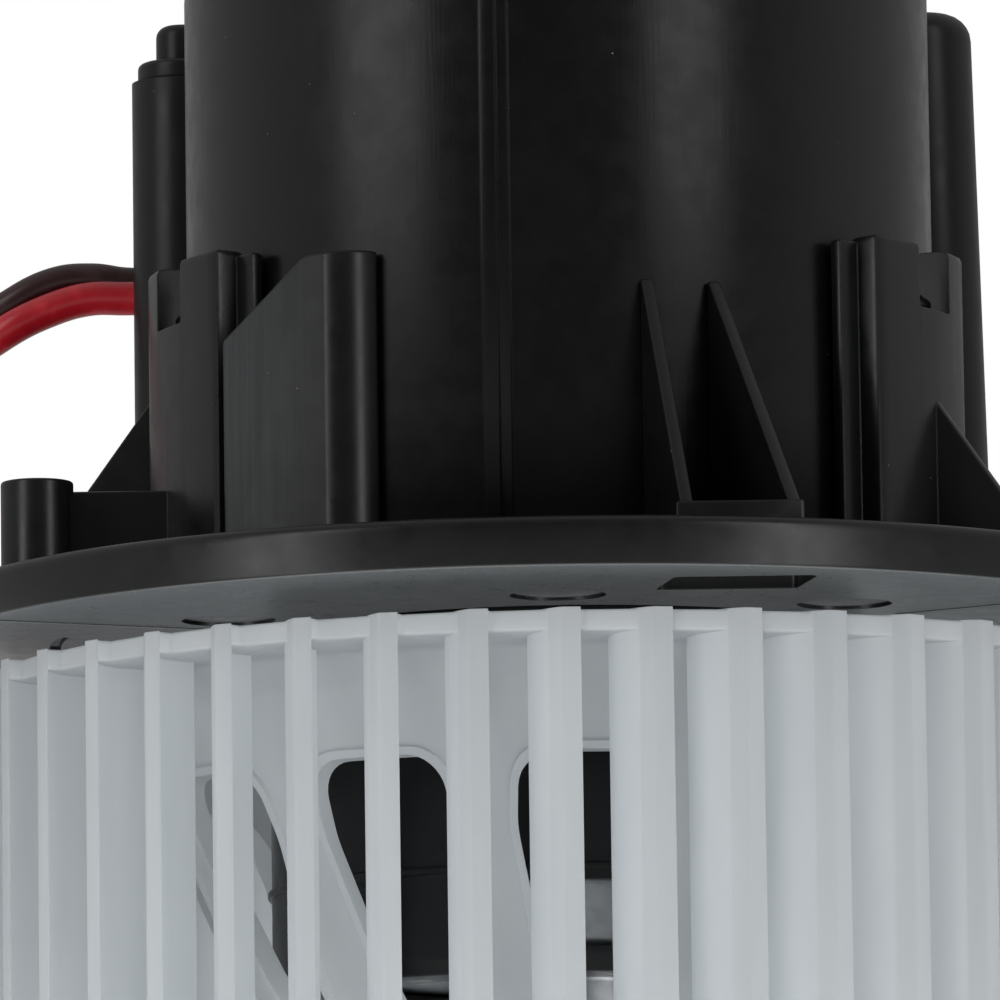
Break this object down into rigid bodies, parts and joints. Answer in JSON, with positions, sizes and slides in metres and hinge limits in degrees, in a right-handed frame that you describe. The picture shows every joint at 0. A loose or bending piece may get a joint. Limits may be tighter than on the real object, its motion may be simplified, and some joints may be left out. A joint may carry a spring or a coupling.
{
  "type": "blower motor and wheel",
  "caption": "Brushed blower motor in a round black plastic flange under a tall cover, turning a pale squirrel-cage wheel of forward-curved blades.",
  "frame": {"origin": "middle of the shaft's lower end face; the flange's seating face is 69 mm above it", "axes": "+Z along the shaft towards the motor cover, -Y towards the front with the two support fins, +X to the right seen from the front"},
  "size_m": [0.1998, 0.1878, 0.163],
  "materials": {
    "black_plastic": "satin black glass-filled moulding",
    "duct_plastic": "satin black moulding",
    "wheel_plastic": "translucent pale grey moulding",
    "card_plastic": "matt",
    "plug_plastic": "satin",
    "rubber": "matt",
    "yoke_steel": "zinc plated, dull",
    "bright_steel": "bright",
    "laminations": "stacked sheet",
    "ferrite": "matt dark grey",
    "copper": "enamelled copper",
    "brass": "satin",
    "bronze": "sintered, oiled",
    "carbon": "pressed carbon",
    "red_sheath": "glossy cable sheath",
    "dark_sheath": "glossy cable sheath"
  },
  "bodies": {
    "housing": {"mounting_flange": "black_plastic", "motor_cover": "black_plastic", "cooling_duct": "duct_plastic", "duct_lid": "duct_plastic", "wire_grommet": "rubber", "motor_cradle": "black_plastic", "isolator_ring": "rubber", "rubber_pad_1": "rubber", "rubber_pad_2": "rubber", "rubber_pad_3": "rubber", "yoke_clip_1": "bright_steel", "yoke_clip_2": "bright_steel", "yoke_clip_3": "bright_steel", "duct_screw_1": "bright_steel", "duct_screw_2": "bright_steel", "motor_yoke": "yoke_steel", "motor_end_plate": "yoke_steel", "field_magnet_left": "ferrite", "field_magnet_right": "ferrite", "lower_bearing": "bronze", "upper_bearing": "bronze", "lower_bearing_retainer": "bright_steel", "upper_bearing_retainer": "bright_steel", "brush_card": "card_plastic", "brush_holder_front": "brass", "brush_holder_back": "brass", "carbon_brush_front": "carbon", "carbon_brush_back": "carbon", "brush_spring_front": "bright_steel", "brush_spring_back": "bright_steel", "suppression_choke_left": "copper", "suppression_choke_right": "copper", "terminal_left": "brass", "terminal_right": "brass", "red_wire": "red_sheath", "dark_wire": "dark_sheath", "plug_housing": "plug_plastic", "plug_contact_lower": "brass", "plug_contact_upper": "brass"},
    "rotor": {"blower_wheel": "wheel_plastic", "hub_bush": "brass", "wheel_clip": "bright_steel", "motor_shaft": "bright_steel", "armature_core": "laminations", "armature_winding": "copper", "commutator": "copper", "thrust_washer_lower": "bright_steel", "thrust_washer_upper": "bright_steel"}
  },
  "joints": [
    {"name": "rotor_spin", "type": "hinge", "parent": "housing", "child": "rotor", "pos_m": [0, 0, 0], "axis": [0, 0, 1], "continuous": true}
  ]
}
